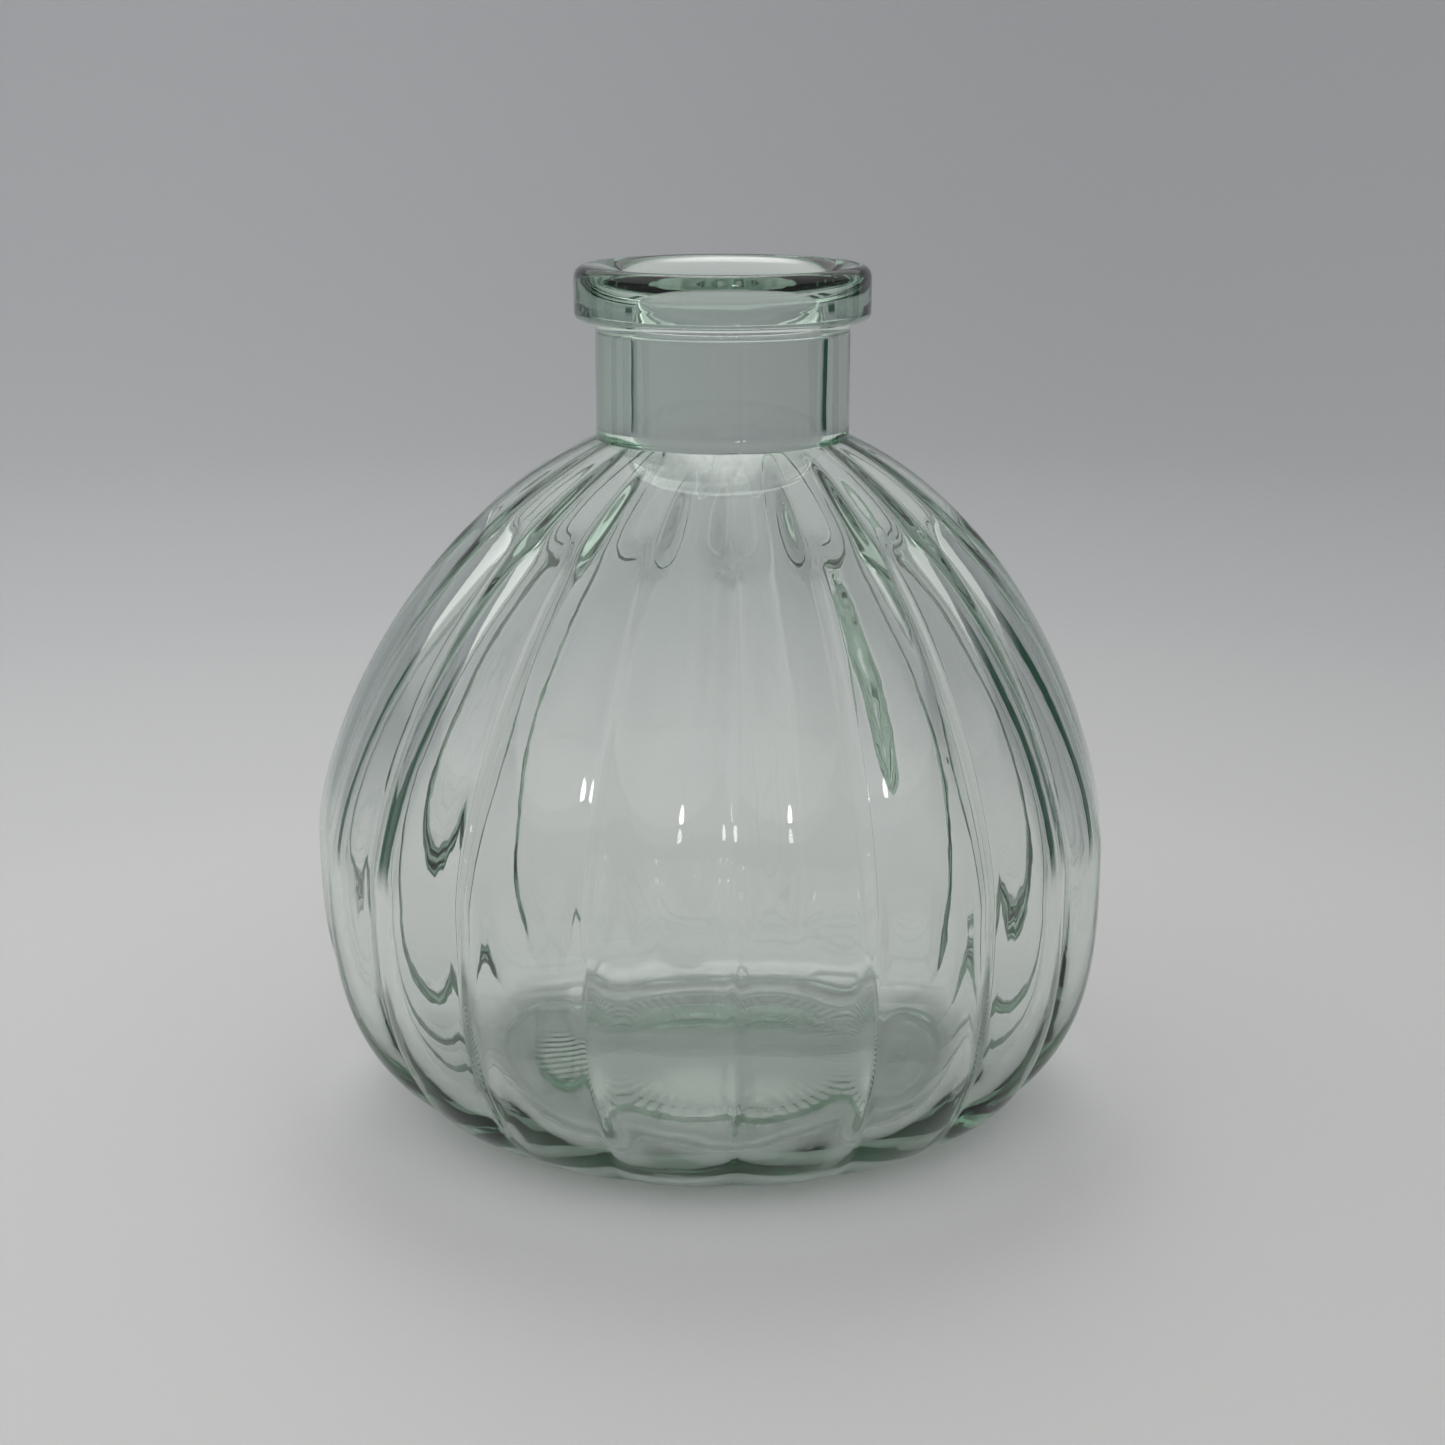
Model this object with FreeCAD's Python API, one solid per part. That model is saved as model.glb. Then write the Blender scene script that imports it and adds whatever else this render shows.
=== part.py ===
import FreeCAD, Part
import math
import os

from FreeCAD import Vector

# Ribbed glass bud vase: one hollow piece of blown glass, given as the six zones that
# glassmakers name. Each zone ends on a level plane and meets the next face to face.
# The frame has its origin on the table under the centre, +Z up the axis, and -Y to the front,
# where a groove carries the mould seam.

# ---- driving sizes, in millimetres ----
overall_height = 100.0

lip_height = 6.2
lip_radius = 17.1
lip_top_round = 1.4
lip_under_round = 0.9
mouth_round = 4.5

neck_length = 13.5
neck_radius = 14.7
bore_radius = 11.0

belly_radius = 47.0        # over the ribs
belly_height = 34.0
foot_radius = 30.0         # outer edge of the underside
rib_count = 18
groove_depth = 2.0
groove_depth_at_foot = 0.4
groove_depth_at_neck = 0.05
rib_fade_low = 12.0        # height in which the ribs grow from the foot
rib_fade_high = 4.0        # height in which they die out below the neck

wall = 1.8                 # behind the ribs at the belly
rib_follow = 0.75          # how much of a groove shows on the inside
inner_fade_low = 9.0       # height in which the inner ribs grow from the floor
inner_fade_high = 8.0      # height in which they die out below the neck
throat_drop = 1.0          # the shoulder's inside would meet the bore this far below the neck
throat_flow = 1.8          # how softly it flows into the bore instead
flare_height = 6.0         # the flare ends this far above the neck's foot
floor_edge_height = 3.2    # the floor's lowest place, round its rim
floor_rise = 1.4           # the floor's crown above its rim
inner_foot_radius = 28.5

base_margin = 0.5          # the base's zone ends this far above the floor's crown
heel_height = 16.0
belly_zone_height = 36.0

ring_inner_radius = 19.5   # stippled ring that stands on the table
ring_outer_radius = 22.5
ring_slope = 1.5
heel_lift = 0.4
push_up = 1.5
plain_band = 0.9           # unstippled inner edge of the ring
stipple_count = 72
stipple_width = 0.9
stipple_depth = 0.3

# shape of the bulb's curve, without unit
upper_power = 1.48
upper_root = 2.08
lower_power = 3.14
lower_root = 1.5
inner_upper_power = 1.52
inner_upper_root = 1.78
floor_power = 3.0
section_count = 14
floor_steps = 6

# ---- levels ----
lip_base = overall_height - lip_height
neck_base = lip_base - neck_length
floor_crown = floor_edge_height + floor_rise
base_top = floor_crown + base_margin
belly_zone_top = heel_height + belly_zone_height
throat_height = neck_base - throat_drop
flare_top = neck_base + flare_height
beyond = 2.0 * (belly_radius + overall_height)


def lower_radius(z, widest, foot, low):
    """Radius at height z below the widest place, with the foot at low."""
    drop = (belly_height - z) / (belly_height - low)
    return foot + (widest - foot) * (1.0 - drop ** lower_power) ** (1.0 / lower_root)


def upper_radius(z, widest, mouth, power, root, top):
    """Radius at height z above the widest place, closing on the mouth at the height top."""
    closing = (1.0 - (mouth / widest) ** root) ** (1.0 / power)
    climb = closing * (z - belly_height) / (top - belly_height)
    return widest * (1.0 - climb ** power) ** (1.0 / root)


def rib_radius(z):
    """Outer radius over the ribs."""
    if z < belly_height:
        return lower_radius(z, belly_radius, foot_radius, 0.0)
    return upper_radius(z, belly_radius, neck_radius, upper_power, upper_root, neck_base)


def cavity_radius(z):
    """Inner radius over the ribs; the shoulder flows into the bore in a small soft curve."""
    widest = belly_radius - wall
    if z < belly_height:
        return lower_radius(z, widest, inner_foot_radius, floor_edge_height)
    if z >= flare_top:
        return bore_radius
    last = throat_height - 1.0
    curve = (widest, bore_radius, inner_upper_power, inner_upper_root, throat_height)
    sharp = upper_radius(min(z, last), *curve)
    if z > last:
        sharp += (bore_radius - sharp) * (z - last)
    over = (sharp - bore_radius) / throat_flow
    return bore_radius + throat_flow * (max(over, 0.0) + math.log1p(math.exp(-abs(over))))


def ease(share):
    """Smooth step from 0 to 1."""
    share = min(max(share, 0.0), 1.0)
    return share * share * (3.0 - 2.0 * share)


def depth_of_groove(z, fade):
    """Groove depth at height z: it grows from the foot and dies out over fade below the neck."""
    grown = ease(z / rib_fade_low)
    low = groove_depth_at_foot + (groove_depth - groove_depth_at_foot) * grown
    left = ease((neck_base - z) / fade)
    return groove_depth_at_neck + (low - groove_depth_at_neck) * left


def around(radius, turn, z):
    """Point on a circle, with turn 0 at the front."""
    return Vector(radius * math.sin(turn), -radius * math.cos(turn), z)


def inner_depth(z):
    """Groove depth on the inside: none at the floor's rim and at the bore."""
    grown = ease((z - floor_edge_height) / inner_fade_low)
    return rib_follow * (depth_of_groove(z, inner_fade_high) - groove_depth_at_neck) * grown


def ribbed_outline(z, ridge, depth):
    """Closed outline at height z: one arc over each rib, meeting in the grooves."""
    valley = ridge - depth
    step = 2.0 * math.pi / rib_count
    arcs = []
    for rib in range(rib_count):
        start = around(valley, rib * step, z)
        crest = around(ridge, (rib + 0.5) * step, z)
        end = around(valley, (rib + 1) * step, z)
        arcs.append(Part.Arc(start, crest, end).toShape())
    return Part.Wire(arcs)


def heights(low, high, count):
    """Levels from low to high, closer together at both ends."""
    return [low + (high - low) * (1.0 - math.cos(math.pi * i / count)) / 2.0 for i in range(count + 1)]


def turned(edges):
    """Solid of revolution about the vase's axis."""
    face = Part.Face(Part.Wire(edges))
    return face.revolve(Vector(0, 0, 0), Vector(0, 0, 1), 360.0)


def line(x1, z1, x2, z2):
    return Part.makeLine(Vector(x1, 0, z1), Vector(x2, 0, z2))


def bulb_outside():
    """Ribbed outside of the bulb, as a solid block from the table to the neck."""
    levels = heights(0.0, neck_base, section_count)
    outlines = [ribbed_outline(z, rib_radius(z), depth_of_groove(z, rib_fade_high)) for z in levels]
    return Part.makeLoft(outlines, True, False)


def floor_height(r):
    """Height of the inner floor at radius r: crowned in the middle, lowest round its rim."""
    return floor_crown - floor_rise * (r / inner_foot_radius) ** floor_power


def floor_mound():
    """Block of glass under the crowned floor."""
    outer = inner_foot_radius + wall
    radii = [outer * i / floor_steps for i in range(floor_steps + 1)]
    crown = Part.BSplineCurve()
    crown.interpolate([Vector(r, 0, floor_height(r)) for r in radii])
    return turned([
        crown.toShape(),
        line(outer, floor_height(outer), outer, -heel_lift),
        line(outer, -heel_lift, 0, -heel_lift),
        line(0, -heel_lift, 0, floor_crown),
    ])


def cavity():
    """The hollow of the bulb: its walls follow the ribs, from the crowned floor up into the neck."""
    levels = heights(floor_edge_height, flare_top, section_count)
    outlines = [ribbed_outline(z, cavity_radius(z), inner_depth(z)) for z in levels]
    return Part.makeLoft(outlines, True, False).cut(floor_mound())


def zone(shape, low, high):
    """The slice of a shape between two levels."""
    slab = Part.makeCylinder(beyond, high - low, Vector(0, 0, low))
    return shape.common(slab)


def circle_edges(shape, radius, z):
    """Edges of a shape that are level circles of this radius at this height."""
    found = []
    for edge in shape.Edges:
        curve = edge.Curve
        level = isinstance(curve, Part.Circle) and abs(curve.Center.z - z) < 1e-6
        if level and abs(curve.Radius - radius) < 1e-6:
            found.append(edge)
    return found


def ring(outer, inner, low, high):
    """Plain upright ring."""
    body = Part.makeCylinder(outer, high - low, Vector(0, 0, low))
    hole = Part.makeCylinder(inner, high - low, Vector(0, 0, low))
    return body.cut(hole)


def lip_ring():
    """Thick rim round the mouth, rounded by the fire."""
    rim = ring(lip_radius, bore_radius, lip_base, overall_height)
    rim = rim.makeFillet(lip_top_round, circle_edges(rim, lip_radius, overall_height))
    rim = rim.makeFillet(mouth_round, circle_edges(rim, bore_radius, overall_height))
    return rim.makeFillet(lip_under_round, circle_edges(rim, lip_radius, lip_base))


def neck(hollow):
    """Straight neck between the shoulder and the lip, with the soft flare at the foot of its bore."""
    block = Part.makeCylinder(neck_radius, neck_length, Vector(0, 0, neck_base))
    bore = Part.makeCylinder(bore_radius, lip_base - flare_top, Vector(0, 0, flare_top))
    return block.cut(hollow).cut(bore)


def underside_relief():
    """What the underside leaves free: the push-up inside the ring and the gap under the heel."""
    out = belly_radius + heel_lift
    gap = turned([
        line(ring_outer_radius, 0, ring_outer_radius + ring_slope, heel_lift),
        line(ring_outer_radius + ring_slope, heel_lift, out, heel_lift),
        line(out, heel_lift, out, -heel_lift),
        line(out, -heel_lift, ring_outer_radius, -heel_lift),
        line(ring_outer_radius, -heel_lift, ring_outer_radius, 0),
    ])
    dome_radius = (ring_inner_radius ** 2 + push_up ** 2) / (2.0 * push_up)
    hollow = Part.makeSphere(dome_radius, Vector(0, 0, push_up - dome_radius))
    hollow = zone(hollow, -push_up, push_up)
    return [gap, hollow]


def stipples():
    """Short radial notches all round the standing ring, outside its plain inner edge."""
    inner = ring_inner_radius + plain_band
    length = ring_outer_radius + stipple_width - inner
    half = stipple_width / 2.0
    corners = [
        Vector(inner, -half, 0),
        Vector(inner, half, 0),
        Vector(inner, 0, stipple_depth),
        Vector(inner, -half, 0),
    ]
    notch = Part.Face(Part.makePolygon(corners)).extrude(Vector(length, 0, 0))
    cuts = []
    for index in range(stipple_count):
        turn = 360.0 * (index + 0.5) / stipple_count
        cuts.append(notch.rotated(Vector(0, 0, 0), Vector(0, 0, 1), turn))
    return cuts


def base(bulb):
    """Thick bottom with its push-up and the stippled ring that it stands on."""
    slab = zone(bulb, 0.0, base_top)
    return slab.cut(underside_relief()).cut(stipples())


def main():
    hollow = cavity()
    bulb = bulb_outside().cut(hollow)
    parts = {
        "lip_ring": lip_ring(),
        "neck": neck(hollow),
        "shoulder": zone(bulb, belly_zone_top, neck_base),
        "ribbed_body": zone(bulb, heel_height, belly_zone_top),
        "heel": zone(bulb, base_top, heel_height),
        "base": base(bulb),
    }
    os.makedirs("parts", exist_ok=True)
    for name, shape in parts.items():
        solids = shape.Solids
        print(name, "solids", len(solids), "valid", shape.isValid(), "volume", round(shape.Volume, 1))
        shape.exportStep(os.path.join("parts", name + ".step"))


main()
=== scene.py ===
import math

import bmesh
import bpy
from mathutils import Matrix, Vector, noise


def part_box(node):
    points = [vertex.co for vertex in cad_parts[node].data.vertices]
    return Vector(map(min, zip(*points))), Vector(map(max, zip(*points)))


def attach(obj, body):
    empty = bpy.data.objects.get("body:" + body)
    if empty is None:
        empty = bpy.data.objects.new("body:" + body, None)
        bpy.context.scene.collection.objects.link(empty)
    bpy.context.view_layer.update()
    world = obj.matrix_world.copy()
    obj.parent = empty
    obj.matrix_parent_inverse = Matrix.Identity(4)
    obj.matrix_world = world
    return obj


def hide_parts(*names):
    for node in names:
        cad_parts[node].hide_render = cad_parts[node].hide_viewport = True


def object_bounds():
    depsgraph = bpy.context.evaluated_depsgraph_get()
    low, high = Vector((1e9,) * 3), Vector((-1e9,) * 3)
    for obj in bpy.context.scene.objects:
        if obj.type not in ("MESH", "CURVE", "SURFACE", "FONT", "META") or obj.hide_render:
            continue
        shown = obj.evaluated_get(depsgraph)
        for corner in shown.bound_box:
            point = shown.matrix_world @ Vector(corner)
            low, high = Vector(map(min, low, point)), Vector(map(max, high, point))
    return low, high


# Ribbed glass bud vase, one piece of blown glass, with its stage, light and camera.
# Sizes are in millimetres and become metres when a vertex is placed. The origin is on the
# table under the vase's axis, +Z is up, and the front groove with the mould seam faces -Y.

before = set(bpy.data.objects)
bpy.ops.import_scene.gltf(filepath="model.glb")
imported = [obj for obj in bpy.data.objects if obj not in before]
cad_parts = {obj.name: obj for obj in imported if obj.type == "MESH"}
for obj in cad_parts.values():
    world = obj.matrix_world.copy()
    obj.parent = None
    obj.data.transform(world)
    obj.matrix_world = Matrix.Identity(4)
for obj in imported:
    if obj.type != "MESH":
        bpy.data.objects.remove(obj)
cad_low, cad_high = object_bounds()
MM = 0.001


def bottom_of(node):
    """Lowest level of a CAD zone, in millimetres."""
    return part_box(node)[0].z / MM


def reach_of(node):
    """Largest radius of a CAD zone along +X, in millimetres."""
    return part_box(node)[1].x / MM


# ---- sizes that come from the CAD zones ----
top_of_lip = cad_high.z / MM
lip_base = bottom_of("lip_ring")
neck_base = bottom_of("neck")
lip_radius = reach_of("lip_ring")
neck_radius = reach_of("neck")
belly_radius = reach_of("ribbed_body")

# ---- curve of the bulb ----
belly_height = 34.0
foot_radius = 30.0
upper_power, upper_root = 1.48, 2.08
inner_upper_power, inner_upper_root = 1.52, 1.78
lower_power, lower_root = 3.14, 1.5

# ---- bore, wall and bottom ----
bore_radius = 11.0
wall = 1.8
throat_drop = 1.0          # the shoulder's inside would meet the bore this far below the neck
throat_run = 1.0           # its last stretch, which runs straight to the bore
neck_flow = 1.8            # how softly it flows into the bore instead
flare_height = 6.0         # the flare ends this far above the neck's foot
floor_crown = 4.6
floor_edge = 3.2
floor_power = 3.0
inner_foot_radius = 28.5

# ---- underside ----
ring_inner_radius = 19.5
ring_outer_radius = 22.5
ring_slope = 1.5
heel_lift = 0.4
heel_radii = (26.0, 28.5, 30.5)
push_up = 1.5
knurl_count = 72
knurl_depth = 0.1
knurl_edge = 0.6           # width in which the knurls rise at both edges of the ring
knurl_start = 0.3          # how far inside the ring's inner edge they begin

# ---- lip ----
lip_top_round = 1.4
lip_under_round = 0.9
mouth_round = 4.5

# ---- ribs ----
rib_count = 18
groove_depth = 2.0
groove_depth_at_foot = 0.4
groove_depth_at_neck = 0.05
rib_fade_low = 12.0        # height in which the ribs grow from the foot
rib_fade_high = 4.0        # height in which they die out below the neck
groove_softness = 0.03
rib_start = 4.0            # the ribs begin this far inside the foot's edge
rib_start_fade = 4.5
inner_softness = 0.4
inner_follow = 0.75
inner_fade_low = 9.0
inner_fade_high = 8.0

# ---- mould seam, a fine raised line down the front and back ----
seam_height = 0.06
seam_width = 0.22
seam_fade = 1.0            # height in which it dies out below the lip
seam_lowest = 0.5          # it starts this far above the heel's lift
neck_seam_turn = 5.6       # the neck's seam lies this many degrees further round

# ---- unevenness of the blown piece; each wave starts from its own place in the noise ----
neck_sway = 0.53
belly_sway = 0.93
sway_from = 20.0
bore_offset = 0.45
bore_offset_below = 10.0
bore_offset_fade = 9.0
inner_wave, inner_wave_length, inner_wave_place = 0.08, 9.0, 3.7
inner_streak, inner_streak_length, inner_streak_place = 0.03, 3.5, 11.3
outer_wave, outer_wave_length, outer_wave_place = 0.015, 7.0, 20.1
wave_stretch = 1.6         # how much longer a wave is upwards than round
streak_stretch = 7.0
calm_lip = 2.5             # the inner waves stop this far below the crown of the lip
calm_fade = 4.0

# ---- how finely the skin is divided ----
columns_per_rib = 20
column_crowding = 0.6      # how far the columns crowd to the grooves
crowd_radius = 23.0        # on the underside and the floor they crowd from here outwards
crowd_radius_fade = 6.0
crowd_floor = 1.2          # how far above the floor's rim that still holds
crowd_neck = 1.0           # they are even again this far above the neck's foot
crowd_neck_fade = 4.0
push_up_steps = 8
ring_steps = 6
outer_wall_steps = 92
neck_corner_rises = (0.3, 0.8)
neck_steps = 8
lip_under_steps = 5
lip_side_steps = 4
lip_top_steps = 7
mouth_steps = 8
bore_steps = 10
inner_wall_steps = 88
floor_steps = 8
same_place = 1e-7          # vertices closer than this, in metres, are one
on_axis = 1e-6             # a radius too small to have a direction
no_depth = 1e-4            # a groove too shallow to be worked out

# ---- glass: what a metre lets through, and its fine ripples ----
glass_ior = 1.52
tint_colour = "#8BC0A0"
tint_density = 48.0
ripple_spacing = 3.84615
ripple_height = 0.02
ripple_upright = 0.45      # less than 1 draws the ripples out upwards
ripple_detail = 2.0
ripple_grain = 0.45

# ---- paper: its grey and its painted light and shade by distance from the vase in metres, and its painted fall-off of light to one side ----
# Painted light and shade: the paper is painted brightest within 36 mm of the axis, under the vase
# where its shadow falls. It is painted darker outwards to where it curves up, and a little lighter
# again at its top.
paper_greys_and_painted_light = (
    (0.0, "#F2F2F2"), (0.036, "#F0F0F0"), (0.052, "#C6C6C6"), (0.10, "#C5C5C4"),
    (0.15, "#C2C2C2"), (0.30, "#B2B3B4"), (0.55, "#A4A6A8"), (0.80, "#B3B4B7"),
)
# Painted light: the paper is painted lighter on the window's side and darker on the far side.
painted_light_half_width = 0.22
painted_light_left_share = 1.06
painted_light_right_share = 0.88
matt = 0.9                 # roughness of the paper and the cards

# ---- paper sweep, in metres ----
flat_step = 0.1
flat_steps = 4
bend_centre = 0.5
bend_radius = 0.35
bend_from = -85.0
bend_steps = 16
sweep_top = 0.4
sweep_columns = 96

# ---- light: directions in degrees, round from the front towards +X and above the horizon ----
room_from = 25.0
ceiling_from = 62.0
room_level = 0.75
ceiling_level = 1.05
window_round = 300.0
window_share = 0.2
panel_round, panel_up = 180.0, 56.0
panel_inner, panel_outer, panel_level = 2.0, 20.0, 3.0
lamp_round, lamp_up = 7.0, 25.0
lamp_inner, lamp_outer, lamp_level = 1.2, 2.8, 22.0
glass_bounces = 24         # light crosses many faces of the glass before it reaches the paper
gloss_bounces = 16

# ---- dark green cards beside the vase: reach and height in metres, directions in degrees ----
card_reach = 0.13
card_high = 0.11
card_soft = 0.10           # share of a card's half width in which its edge fades
card_rows = 6
card_columns = 16
card_surfaces = 2.5        # it shows through fewer glass surfaces than this: one wall has two
cards = (
    ("card_right", 88.0, 101.0, "#164A38"),
    ("card_right_far", 108.0, 120.0, "#164A38"),
    ("card_left_far", 243.0, 252.0, "#446A58"),
    ("card_left", 260.0, 270.0, "#446A58"),
)

# ---- camera: directions in degrees, places in metres, lens and sensor in millimetres ----
camera_round = 3.03
camera_away = 0.29809
camera_aside = 0.00051
camera_height = 0.12278
camera_pitch = 14.47
camera_lens = 64.14
camera_sensor = 36.0


# ---- shape of the vase ----
def ease(share):
    """Smooth step from 0 to 1."""
    share = min(max(share, 0.0), 1.0)
    return share * share * (3.0 - 2.0 * share)


def lower(z, widest, foot, low):
    """Radius at height z below the widest place, with the foot at low."""
    drop = min((belly_height - z) / (belly_height - low), 1.0)
    return foot + (widest - foot) * (1.0 - drop ** lower_power) ** (1.0 / lower_root)


def upper(z, widest, mouth, power, root, top):
    """Radius at height z above the widest place, closing on the mouth's radius at top."""
    closing = (1.0 - (mouth / widest) ** root) ** (1.0 / power)
    climb = closing * (z - belly_height) / (top - belly_height)
    return widest * (1.0 - climb ** power) ** (1.0 / root)


def outside(z):
    """Outer radius over the ribs."""
    if z < belly_height:
        return lower(z, belly_radius, foot_radius, 0.0)
    return upper(z, belly_radius, neck_radius, upper_power, upper_root, neck_base)


def inside(z):
    """Inner radius over the ribs; the shoulder flows into the bore in a small soft curve."""
    widest = belly_radius - wall
    if z < belly_height:
        return lower(z, widest, inner_foot_radius, floor_edge)
    throat = neck_base - throat_drop
    last = throat - throat_run
    bare = upper(min(z, last), widest, bore_radius, inner_upper_power, inner_upper_root, throat)
    if z > last:
        bare += (bore_radius - bare) * (z - last) / throat_run
    over = (bare - bore_radius) / neck_flow
    return bore_radius + neck_flow * (max(over, 0.0) + math.log1p(math.exp(-abs(over))))


def depth_of_groove(z, fade):
    """Groove depth at height z: it grows from the foot and dies out over fade below the neck."""
    grown = ease(z / rib_fade_low)
    low = groove_depth_at_foot + (groove_depth - groove_depth_at_foot) * grown
    left = ease((neck_base - z) / fade)
    return groove_depth_at_neck + (low - groove_depth_at_neck) * left


def rib_drop(share, depth, ridge, softness):
    """How far the glass lies inside the ridge circle; share runs from -1 to 1, groove to groove."""
    if depth < no_depth:
        return 0.0
    half_rib = math.pi / rib_count
    gap = math.sqrt((1.0 - abs(share)) ** 2 + softness ** 2) - softness
    turn = half_rib * (1.0 - gap / (math.sqrt(1.0 + softness ** 2) - softness))
    valley = ridge - depth
    centre = (ridge ** 2 - valley ** 2) / (2.0 * (ridge - valley * math.cos(half_rib)))
    arc = ridge - centre
    along = math.sqrt(arc ** 2 - (centre * math.sin(turn)) ** 2)
    return ridge - centre * math.cos(turn) - along


def arc_points(cx, cz, radius, start, end, steps):
    """Points of an arc in the section, from one angle to another in degrees."""
    turns = [math.radians(start + (end - start) * i / steps) for i in range(steps + 1)]
    return [(cx + radius * math.cos(t), cz + radius * math.sin(t)) for t in turns]


def crowded(low, high, count):
    """Levels from low up to high, closer together at both ends."""
    shares = [(1.0 - math.cos(math.pi * i / count)) / 2.0 for i in range(count + 1)]
    return [low + (high - low) * share for share in shares]


def outer_section():
    """Section of the outside, from the middle of the underside to the crown of the lip."""
    dome_radius = (ring_inner_radius ** 2 + push_up ** 2) / (2.0 * push_up)
    points = [(0.0, push_up)]
    for i in range(1, push_up_steps + 1):
        r = ring_inner_radius * i / push_up_steps
        points.append((r, push_up - dome_radius + math.sqrt(dome_radius ** 2 - r ** 2)))
    ring_width = ring_outer_radius - ring_inner_radius
    for i in range(1, ring_steps + 1):
        points.append((ring_inner_radius + ring_width * i / ring_steps, 0.0))
    points.append((ring_outer_radius + 0.5 * ring_slope, 0.5 * heel_lift))
    points.append((ring_outer_radius + ring_slope, heel_lift))
    points += [(r, heel_lift) for r in heel_radii]
    points += [(outside(z), z) for z in crowded(heel_lift, neck_base, outer_wall_steps)]
    points += [(neck_radius, neck_base + rise) for rise in neck_corner_rises]
    neck_length = lip_base - neck_base
    for i in range(1, neck_steps + 1):
        points.append((neck_radius, neck_base + neck_length * i / neck_steps))
    low = lip_base + lip_under_round
    high = top_of_lip - lip_top_round
    under = lip_radius - lip_under_round
    points += arc_points(under, low, lip_under_round, -90.0, 0.0, lip_under_steps)
    for i in range(1, lip_side_steps):
        points.append((lip_radius, low + (high - low) * i / lip_side_steps))
    over = lip_radius - lip_top_round
    points += arc_points(over, high, lip_top_round, 0.0, 90.0, lip_top_steps)
    return points


def inner_section():
    """Section of the inside, from the crown of the lip down to the middle of the floor."""
    round_base = top_of_lip - mouth_round
    flare_top = neck_base + flare_height
    mouth_centre = bore_radius + mouth_round
    points = arc_points(mouth_centre, round_base, mouth_round, 90.0, 180.0, mouth_steps)
    for i in range(1, bore_steps):
        points.append((bore_radius, round_base + (flare_top - round_base) * i / bore_steps))
    levels = crowded(floor_edge, flare_top, inner_wall_steps)
    points += [(inside(z), z) for z in reversed(levels)]
    for i in range(1, floor_steps + 1):
        share = (floor_steps - i) / floor_steps
        level = floor_crown - (floor_crown - floor_edge) * share ** floor_power
        points.append((inner_foot_radius * share, level))
    return points


def share_of_rib(turn):
    """Where a direction lies within its rib, from -1 at one groove to 1 at the next."""
    pitch = 2.0 * math.pi / rib_count
    return 2.0 * ((turn / pitch) % 1.0) - 1.0


def crowd_to_grooves(turn, amount):
    """Moves a column's direction towards the nearest groove, so that the grooves stay crisp."""
    share = share_of_rib(turn)
    shifted = (1.0 - amount) * share + amount * math.sin(0.5 * math.pi * share)
    return turn + (shifted - share) * math.pi / rib_count


def sway(z):
    """Sideways drift of the blown axis at height z: left at the belly, right at the neck."""
    share = min(z / neck_base, 1.0)
    upwards = neck_sway * ease((z - sway_from) / (neck_base - sway_from))
    return upwards - belly_sway * 4.0 * share * (1.0 - share)


def seam_rise(turn, r, z):
    """Height of the mould seam: front and back, and a little further round on the neck. There is
    none on the underside."""
    if z < heel_lift + seam_lowest or r < ring_outer_radius and z < belly_height:
        return 0.0
    shift = math.radians(neck_seam_turn) if z > neck_base else 0.0
    rise = 0.0
    for middle in (shift, math.pi + shift):
        away = (turn - middle + math.pi) % (2.0 * math.pi) - math.pi
        rise += seam_height * math.exp(-((away * r / seam_width) ** 2))
    return rise * ease((lip_base - z) / seam_fade)


def wave(x, y, z, length, stretch, offset):
    """Smooth unevenness from -1 to 1, drawn out upwards as the glass was."""
    return noise.noise(Vector((x / length + offset, y / length, z / (length * stretch))))


def ribbed_inside(r, z, share):
    """Radius of the inner wall: softer ribs than outside, none at the floor's rim and the bore."""
    grown = ease((z - floor_edge) / inner_fade_low)
    depth = depth_of_groove(z, inner_fade_high) - groove_depth_at_neck
    return r - rib_drop(share, inner_follow * depth * grown, r, inner_softness)


def ribbed_outside(r, z, share):
    """Radius of the outer wall, whose ribs begin a little inside the foot's edge."""
    begun = ease((r - foot_radius + rib_start) / rib_start_fade)
    return r - rib_drop(share, depth_of_groove(z, rib_fade_high) * begun, r, groove_softness)


def knurl_rise(turn, r):
    """How far a knurl cuts up into the standing ring."""
    begun = ease((r - ring_inner_radius + knurl_start) / knurl_edge)
    ended = ease((ring_outer_radius + knurl_edge - r) / knurl_edge)
    return knurl_depth * begun * ended * (0.5 - 0.5 * math.cos(knurl_count * turn))


def shape_vertex(vert, inner):
    """Ribs, knurls and the unevenness of blown glass, for one vertex of the spun skin."""
    x, y, z = (c / MM for c in vert.co)
    r = math.hypot(x, y)
    if r < on_axis:
        return
    if z < floor_edge + crowd_floor:
        ribbed = ease((r - crowd_radius) / crowd_radius_fade)
    else:
        ribbed = ease((neck_base + crowd_neck - z) / crowd_neck_fade)
    turn = crowd_to_grooves(math.atan2(x, -y), column_crowding * ribbed)
    share = share_of_rib(turn)
    if inner:
        r = ribbed_inside(r, z, share)
        free = ease((top_of_lip - calm_lip - z) / calm_fade)
        waves = wave(x, y, z, inner_wave_length, wave_stretch, inner_wave_place)
        streaks = wave(x, y, z, inner_streak_length, streak_stretch, inner_streak_place)
        r += free * (inner_wave * waves + inner_streak * streaks)
    elif r > foot_radius - rib_start:
        r = ribbed_outside(r, z, share)
    elif z < heel_lift:
        z += knurl_rise(turn, r)
    if not inner and z > heel_lift:
        waves = wave(x, y, z, outer_wave_length, wave_stretch, outer_wave_place)
        r += outer_wave * waves + seam_rise(turn, r, z)
    aside = sway(z)
    if inner:
        aside += bore_offset * ease((z - neck_base + bore_offset_below) / bore_offset_fade)
    vert.co = Vector((r * math.sin(turn) + aside, -r * math.cos(turn), z)) * MM


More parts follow.
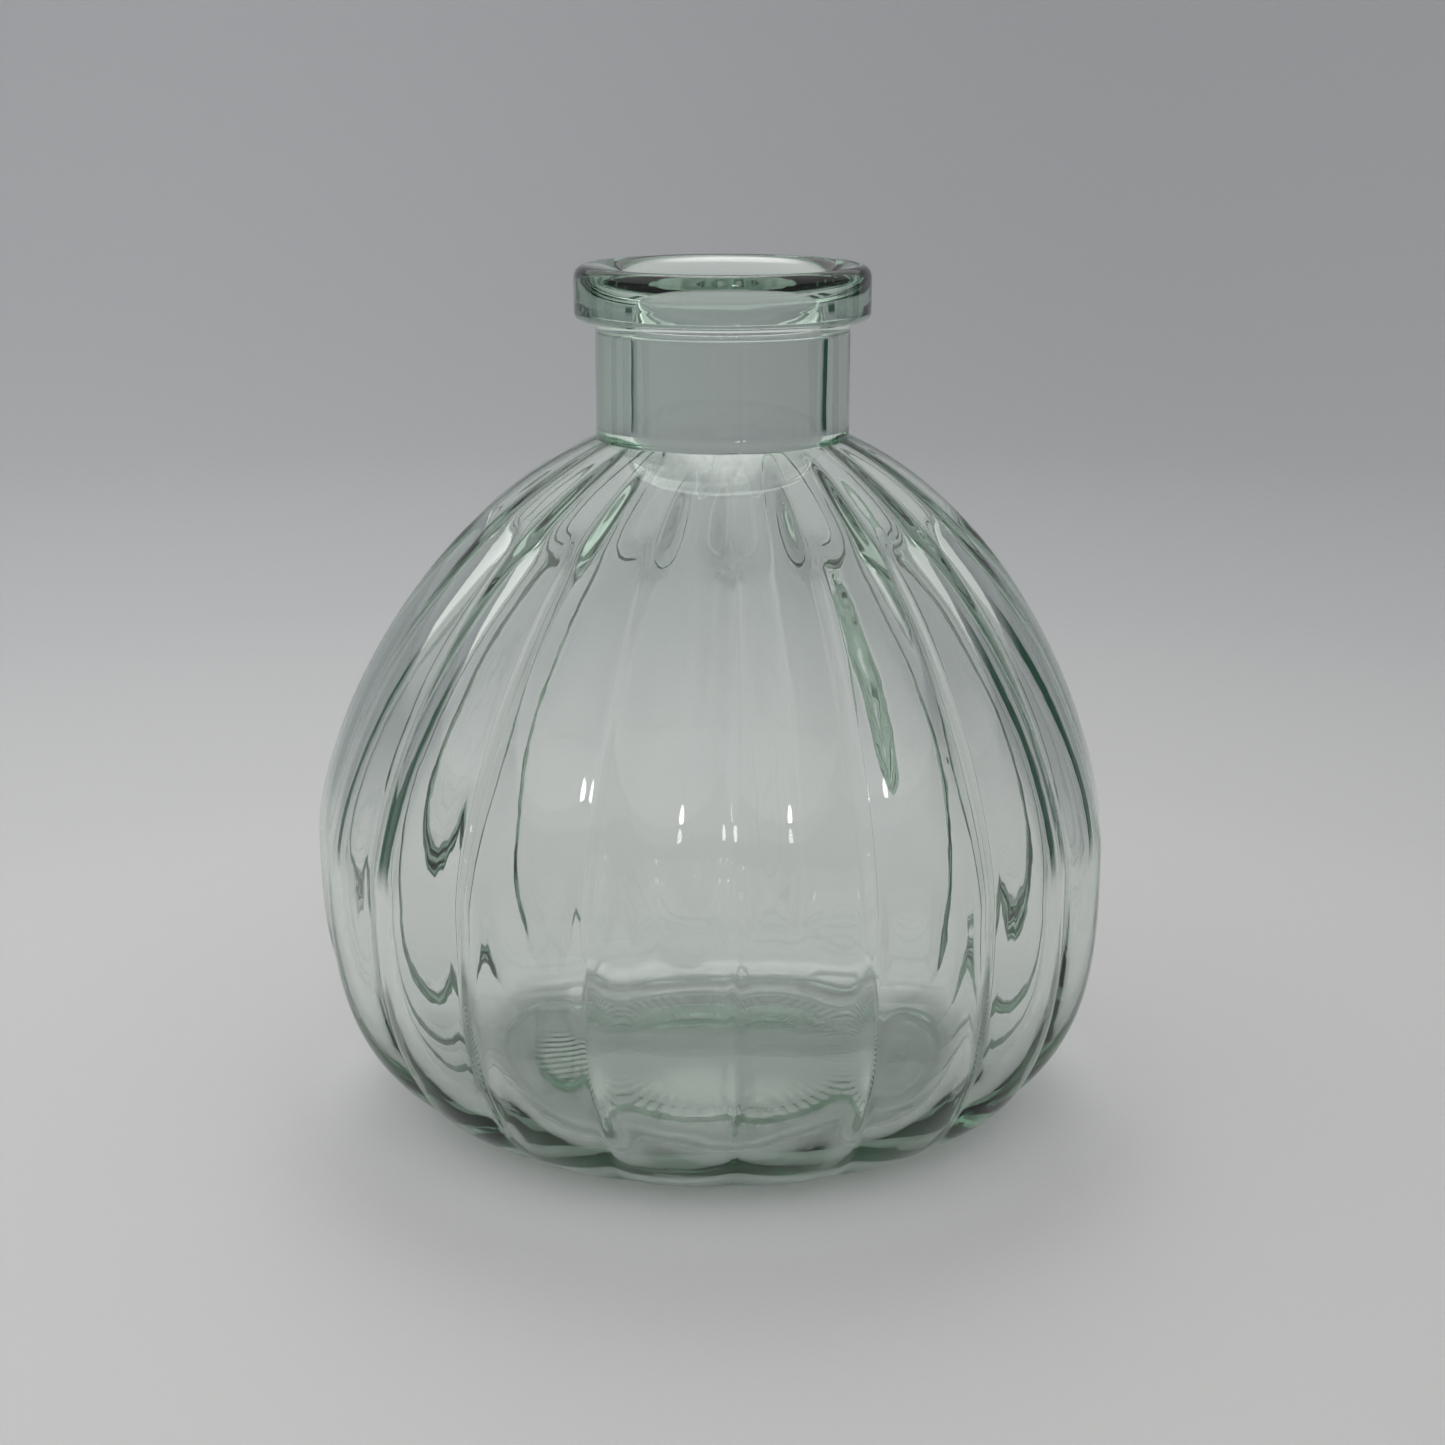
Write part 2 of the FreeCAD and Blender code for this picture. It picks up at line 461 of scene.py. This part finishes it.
def spin_round(bm, section, angle, steps, closed):
    """Turns a section about the vase's axis; a closed turn has its seam and its poles merged."""
    bmesh.ops.spin(
        bm, geom=section, cent=(0, 0, 0), axis=(0, 0, 1), dvec=(0, 0, 0),
        angle=angle, steps=steps, use_merge=closed, use_duplicate=False,
    )
    if closed:
        bmesh.ops.remove_doubles(bm, verts=bm.verts, dist=same_place)


def smooth_faces(bm):
    """Turns the faces outwards and shades them smooth."""
    bmesh.ops.recalc_face_normals(bm, faces=bm.faces)
    for face in bm.faces:
        face.smooth = True


def place(name, bm):
    """Makes the object of a finished bmesh."""
    mesh = bpy.data.meshes.new(name)
    bm.to_mesh(mesh)
    bm.free()
    thing = bpy.data.objects.new(name, mesh)
    bpy.context.scene.collection.objects.link(thing)
    return thing


def make_vase():
    """The whole vase as one closed skin of glass: a section spun round, then ribbed and knurled."""
    bm = bmesh.new()
    side = bm.verts.layers.int.new("inner_side")
    previous = None
    section = []
    for points, inner in ((outer_section(), 0), (inner_section(), 1)):
        for r, z in points:
            vert = bm.verts.new((0.0, -r * MM, z * MM))
            vert[side] = inner
            section.append(vert)
            if previous is not None:
                section.append(bm.edges.new((previous, vert)))
            previous = vert
    spin_round(bm, section, 2.0 * math.pi, rib_count * columns_per_rib, True)
    for vert in bm.verts:
        shape_vertex(vert, vert[side] == 1)
    smooth_faces(bm)
    return place("ribbed_glass_vase", bm)


# ---- materials ----
def linear(code):
    """sRGB hex to the linear colour that a shader takes."""
    values = [int(code[i:i + 2], 16) / 255.0 for i in (1, 3, 5)]
    bent = [v / 12.92 if v <= 0.04045 else ((v + 0.055) / 1.055) ** 2.4 for v in values]
    return (*bent, 1.0)


def add(tree, kind, links=(), **settings):
    """One node with its settings and links; a setting is an attribute, or a socket by its name."""
    node = tree.nodes.new(kind)
    for key, value in settings.items():
        name = key.replace("_", " ")
        if hasattr(node, key):
            setattr(node, key, value)
        elif name in node.inputs:
            node.inputs[name].default_value = value
        else:
            raise KeyError(f"{kind} has no {key}")
    for socket, source in links:
        tree.links.new(source, node.inputs[socket])
    return node


def new_material(name):
    """Empty material and its node tree."""
    material = bpy.data.materials.new(name)
    material.use_nodes = True
    material.node_tree.nodes.clear()
    return material, material.node_tree


def clear_glass():
    """Mould-blown soda-lime glass: colourless in a thin wall, bottle green on a long way inside."""
    material, tree = new_material("mould_blown_soda_lime_glass")
    spot = add(tree, "ShaderNodeTexCoord")
    # Glass chilled by the mould keeps faint ripples, drawn out upwards. They make the lines
    # that are seen through the wall waver a little.
    drawn = add(
        tree, "ShaderNodeMapping", Scale=(1.0, 1.0, ripple_upright),
        links=[("Vector", spot.outputs["Object"])],
    )
    ripple = add(
        tree, "ShaderNodeTexNoise", Scale=1.0 / (ripple_spacing * MM),
        Detail=ripple_detail, Roughness=ripple_grain,
        links=[("Vector", drawn.outputs["Vector"])],
    )
    relief = add(
        tree, "ShaderNodeBump", Strength=1.0, Distance=ripple_height * MM,
        links=[("Height", ripple.outputs["Fac"])],
    )
    skin = add(
        tree, "ShaderNodeBsdfPrincipled", Base_Color=linear("#FFFFFF"), Roughness=0.0,
        IOR=glass_ior, Transmission_Weight=1.0, links=[("Normal", relief.outputs["Normal"])],
    )
    tint = add(
        tree, "ShaderNodeVolumeAbsorption", Color=linear(tint_colour), Density=tint_density,
    )
    add(
        tree, "ShaderNodeOutputMaterial",
        links=[("Surface", skin.outputs["BSDF"]), ("Volume", tint.outputs["Volume"])],
    )
    return material


def paper():
    """Seamless matt background paper, with painted light and shade: bright round the vase, where
    its shadow falls, and greyer where it curves up; lighter on the window's side.
    """
    material, tree = new_material("matt_background_paper")
    spot = add(tree, "ShaderNodeTexCoord")
    flat = add(
        tree, "ShaderNodeVectorMath", operation="MULTIPLY", links=[(0, spot.outputs["Object"])],
    )
    flat.inputs[1].default_value = (1.0, 1.0, 0.0)
    away = add(
        tree, "ShaderNodeVectorMath", operation="LENGTH", links=[(0, flat.outputs["Vector"])],
    )
    # Paper grey with painted light under the vase and painted shade outwards, by distance from the
    # axis.
    grey = add(tree, "ShaderNodeValToRGB", links=[("Fac", away.outputs["Value"])])
    ramp = grey.color_ramp
    ramp.interpolation = "B_SPLINE"
    first, last = paper_greys_and_painted_light[0], paper_greys_and_painted_light[-1]
    ramp.elements[0].position, ramp.elements[0].color = first[0], linear(first[1])
    ramp.elements[1].position, ramp.elements[1].color = last[0], linear(last[1])
    for position, code in paper_greys_and_painted_light[1:-1]:
        ramp.elements.new(position).color = linear(code)
    # Painted light: the window's side of the paper is painted lighter than the far side, as if more
    # light fell on it.
    across = add(tree, "ShaderNodeSeparateXYZ", links=[("Vector", spot.outputs["Object"])])
    lit = add(
        tree, "ShaderNodeMapRange", interpolation_type="SMOOTHSTEP",
        From_Min=-painted_light_half_width, From_Max=painted_light_half_width,
        To_Min=painted_light_left_share, To_Max=painted_light_right_share,
        links=[("Value", across.outputs["X"])],
    )
    shaded = add(
        tree, "ShaderNodeVectorMath", operation="SCALE",
        links=[(0, grey.outputs["Color"]), ("Scale", lit.outputs["Result"])],
    )
    skin = add(
        tree, "ShaderNodeBsdfPrincipled", Roughness=matt, Specular_IOR_Level=0.0,
        links=[("Base Color", shaded.outputs["Vector"])],
    )
    add(tree, "ShaderNodeOutputMaterial", links=[("Surface", skin.outputs["BSDF"])])
    return material


def green_card(code):
    """Matt dark green card with faded edges: it gives the glass its dark green rims and lines."""
    material, tree = new_material("matt_green_card")
    skin = add(tree, "ShaderNodeBsdfPrincipled", Roughness=matt, Base_Color=linear(code))
    clear = add(tree, "ShaderNodeBsdfTransparent")
    cover = add(tree, "ShaderNodeAttribute", attribute_name="cover")
    # It shows only through a single wall of the glass, so it never stands as a stripe behind
    # the whole vase.
    path = add(tree, "ShaderNodeLightPath")
    thin = add(
        tree, "ShaderNodeMath", operation="LESS_THAN",
        links=[(0, path.outputs["Transmission Depth"])],
    )
    thin.inputs[1].default_value = card_surfaces
    seen = add(
        tree, "ShaderNodeMath", operation="MULTIPLY",
        links=[(0, cover.outputs["Fac"]), (1, thin.outputs[0])],
    )
    mixed = add(
        tree, "ShaderNodeMixShader",
        links=[(0, seen.outputs[0]), (1, clear.outputs[0]), (2, skin.outputs[0])],
    )
    add(tree, "ShaderNodeOutputMaterial", links=[("Surface", mixed.outputs[0])])
    return material


# ---- stage ----
def facing(round_by, up):
    """Unit vector towards a direction given round from the front and up from the horizon."""
    across = math.cos(math.radians(up))
    turn = math.radians(round_by)
    return Vector((across * math.sin(turn), -across * math.cos(turn), math.sin(math.radians(up))))


def make_sweep():
    """Table and background in one sheet that curves up all round."""
    bm = bmesh.new()
    points = [(flat_step * i, 0.0) for i in range(flat_steps + 1)]
    points += arc_points(bend_centre, bend_radius, bend_radius, bend_from, 0.0, bend_steps)
    points.append((bend_centre + bend_radius, sweep_top))
    verts = [bm.verts.new((0.0, -r, h)) for r, h in points]
    edges = [bm.edges.new(pair) for pair in zip(verts, verts[1:])]
    spin_round(bm, verts + edges, 2.0 * math.pi, sweep_columns, True)
    smooth_faces(bm)
    sweep = place("paper_sweep", bm)
    sweep.data.materials.append(paper())


def make_card(name, round_from, round_to, code):
    """Card that stands beside the vase, seen by the glass alone: it draws the dark edges in it."""
    bm = bmesh.new()
    cover = bm.verts.layers.float.new("cover")
    foot = facing(round_from, 0.0) * card_reach
    levels = [card_high * i / card_rows for i in range(card_rows + 1)]
    verts = [bm.verts.new(foot + Vector((0.0, 0.0, level))) for level in levels]
    edges = [bm.edges.new(pair) for pair in zip(verts, verts[1:])]
    spin_round(bm, verts + edges, math.radians(round_to - round_from), card_columns, False)
    middle = facing(0.5 * (round_from + round_to), 0.0)
    half = math.radians(0.5 * (round_to - round_from))
    for vert in bm.verts:
        across = abs(Vector((vert.co.x, vert.co.y, 0.0)).angle(middle)) / half
        up = abs(2.0 * vert.co.z / card_high - 1.0)
        vert[cover] = ease((1.0 - across) / card_soft) * ease((1.0 - up) / card_soft)
    card = place(name, bm)
    card.data.materials.append(green_card(code))
    card.visible_camera = False
    card.visible_diffuse = False
    card.visible_shadow = False


def make_world():
    """Room light that rises to a soft ceiling and is brighter on the window's side, with a soft
    panel behind the vase and a small lamp in front of it."""
    world = bpy.data.worlds.new("studio")
    world.use_nodes = True
    tree = world.node_tree
    tree.nodes.clear()
    sight = add(tree, "ShaderNodeTexCoord").outputs["Generated"]
    up = add(tree, "ShaderNodeSeparateXYZ", links=[("Vector", sight)])
    rise = add(
        tree, "ShaderNodeMapRange", interpolation_type="SMOOTHSTEP",
        From_Min=math.sin(math.radians(room_from)), From_Max=math.sin(math.radians(ceiling_from)),
        To_Min=room_level, To_Max=ceiling_level, links=[("Value", up.outputs["Z"])],
    )
    side = add(tree, "ShaderNodeVectorMath", operation="DOT_PRODUCT", links=[(0, sight)])
    side.inputs[1].default_value = facing(window_round, 0.0) * window_share
    lean = add(tree, "ShaderNodeMath", operation="ADD", links=[(0, side.outputs["Value"])])
    lean.inputs[1].default_value = 1.0
    total = add(
        tree, "ShaderNodeMath", operation="MULTIPLY",
        links=[(0, rise.outputs["Result"]), (1, lean.outputs[0])],
    )
    for round_by, up_by, inner, outer, level in (
        (panel_round, panel_up, panel_inner, panel_outer, panel_level),
        (lamp_round, lamp_up, lamp_inner, lamp_outer, lamp_level),
    ):
        near = add(tree, "ShaderNodeVectorMath", operation="DOT_PRODUCT", links=[(0, sight)])
        near.inputs[1].default_value = facing(round_by, up_by)
        glow = add(
            tree, "ShaderNodeMapRange", interpolation_type="SMOOTHSTEP",
            From_Min=math.cos(math.radians(outer)), From_Max=math.cos(math.radians(inner)),
            To_Max=level, links=[("Value", near.outputs["Value"])],
        )
        total = add(
            tree, "ShaderNodeMath", operation="ADD",
            links=[(0, total.outputs[0]), (1, glow.outputs["Result"])],
        )
    sky = add(
        tree, "ShaderNodeBackground", Color=linear("#FFFFFF"),
        links=[("Strength", total.outputs[0])],
    )
    add(tree, "ShaderNodeOutputWorld", links=[("Surface", sky.outputs["Background"])])
    bpy.context.scene.world = world


def make_camera():
    """Camera a little above the lip, 0.3 m in front, three degrees round from the seam's groove."""
    turn = math.radians(camera_round)
    data = bpy.data.cameras.new("camera")
    data.sensor_width = camera_sensor
    data.lens = camera_lens
    camera = bpy.data.objects.new("camera", data)
    right = Vector((math.cos(turn), -math.sin(turn), 0.0))
    back = Vector((-math.sin(turn), -math.cos(turn), 0.0))
    level = Vector((0.0, 0.0, camera_height))
    camera.location = back * camera_away + right * camera_aside + level
    camera.rotation_euler = (math.pi / 2.0 - math.radians(camera_pitch), 0.0, -turn)
    bpy.context.scene.collection.objects.link(camera)
    bpy.context.scene.camera = camera


vase = make_vase()
vase.data.materials.append(clear_glass())
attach(vase, "root")
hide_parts("lip_ring", "neck", "shoulder", "ribbed_body", "heel", "base")
make_sweep()
for name, round_from, round_to, code in cards:
    make_card(name, round_from, round_to, code)
make_world()
make_camera()

scene = bpy.context.scene
scene.view_settings.view_transform = "Standard"
scene.cycles.max_bounces = glass_bounces
scene.cycles.transmission_bounces = glass_bounces
scene.cycles.glossy_bounces = gloss_bounces
